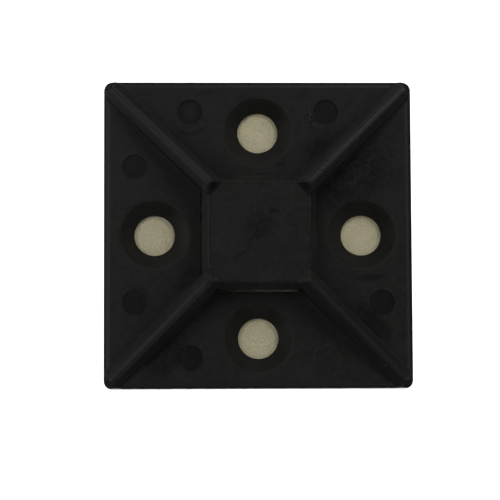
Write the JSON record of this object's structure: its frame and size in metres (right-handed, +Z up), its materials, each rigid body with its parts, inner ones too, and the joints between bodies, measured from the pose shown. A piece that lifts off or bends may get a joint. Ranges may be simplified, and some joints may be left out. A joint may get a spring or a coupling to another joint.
{
  "type": "cable tie mount",
  "caption": "Square screw-down and stick-on mount for cable ties, with diagonal ribs that climb to a raised bridge, countersunk screw holes and an adhesive foam pad.",
  "frame": {"origin": "centre of the underside, on the surface that the release liner rests on", "axes": "+Z up through the bridge, +X and +Y along the sides of the square plate"},
  "size_m": [0.0382, 0.0382, 0.008],
  "materials": {
    "black_nylon": "satin moulded nylon",
    "foam_tape": "closed-cell foam with adhesive",
    "liner_paper": "glazed release paper"
  },
  "bodies": {
    "root": {"mount_body": "black_nylon", "foam_pad": "foam_tape", "release_liner": "liner_paper"}
  },
  "joints": []
}
